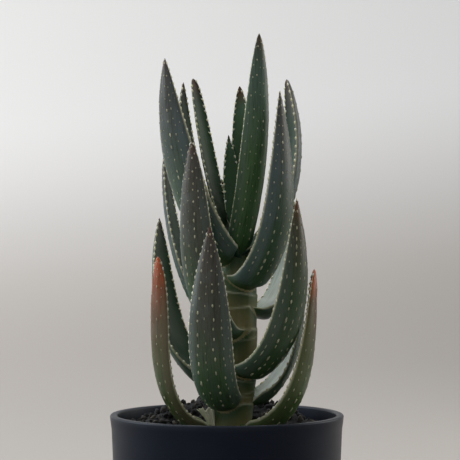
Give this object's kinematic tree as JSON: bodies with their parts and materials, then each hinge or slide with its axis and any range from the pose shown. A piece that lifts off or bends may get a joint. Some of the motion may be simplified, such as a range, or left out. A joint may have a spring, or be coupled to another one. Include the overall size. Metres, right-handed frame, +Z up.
{
  "type": "potted succulent tree",
  "caption": "Young tree aloe with upright toothed, channelled leaves round one stem, standing in soil in a plain round pot.",
  "frame": {"origin": "on the pot's axis, at the level of the surface that the pot stands on", "axes": "+Z up along the pot's axis and the stem, -Y towards the front, +X to the right as seen from the front"},
  "size_m": [0.14, 0.14, 0.3552],
  "materials": {
    "pot": "satin",
    "soil": "matte",
    "stem": "matte",
    "leaf": "satin"
  },
  "bodies": {
    "root": {"pot": "pot", "soil": "soil", "stem": "stem", "leaf_01": "leaf", "leaf_02": "leaf", "leaf_03": "leaf", "leaf_04": "leaf", "leaf_05": "leaf", "leaf_06": "leaf", "leaf_07": "leaf", "leaf_08": "leaf", "leaf_09": "leaf", "leaf_10": "leaf", "leaf_11": "leaf", "leaf_12": "leaf", "leaf_13": "leaf", "leaf_14": "leaf", "leaf_15": "leaf", "leaf_16": "leaf", "leaf_17": "leaf", "leaf_18": "leaf", "leaf_19": "leaf"}
  },
  "joints": []
}
